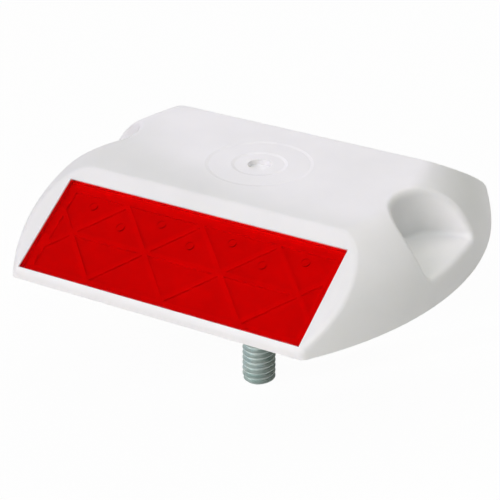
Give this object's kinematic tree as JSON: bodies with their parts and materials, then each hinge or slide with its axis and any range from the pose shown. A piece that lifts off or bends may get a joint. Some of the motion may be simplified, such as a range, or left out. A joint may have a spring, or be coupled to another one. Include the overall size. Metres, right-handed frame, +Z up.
{
  "type": "reflective road stud",
  "caption": "Low white plastic road stud with sloped faces that carry red reflector lenses, domed ends with finger grips, and a threaded anchor bolt below.",
  "frame": {"origin": "on the road surface, where the anchor bolt's axis passes through the flat underside", "axes": "+X along the lenses, -Y out of the front lens's side, +Z up out of the road along the bolt's axis"},
  "size_m": [0.1016, 0.092, 0.0565],
  "materials": {
    "white_abs": "satin",
    "red_acrylic": "gloss",
    "cast_resin": "rough, sandy",
    "zinc_steel": "zinc plated"
  },
  "bodies": {
    "root": {"housing": "white_abs", "front_lens": "red_acrylic", "rear_lens": "red_acrylic", "potting_fill": "cast_resin", "anchor_bolt": "zinc_steel"}
  },
  "joints": []
}
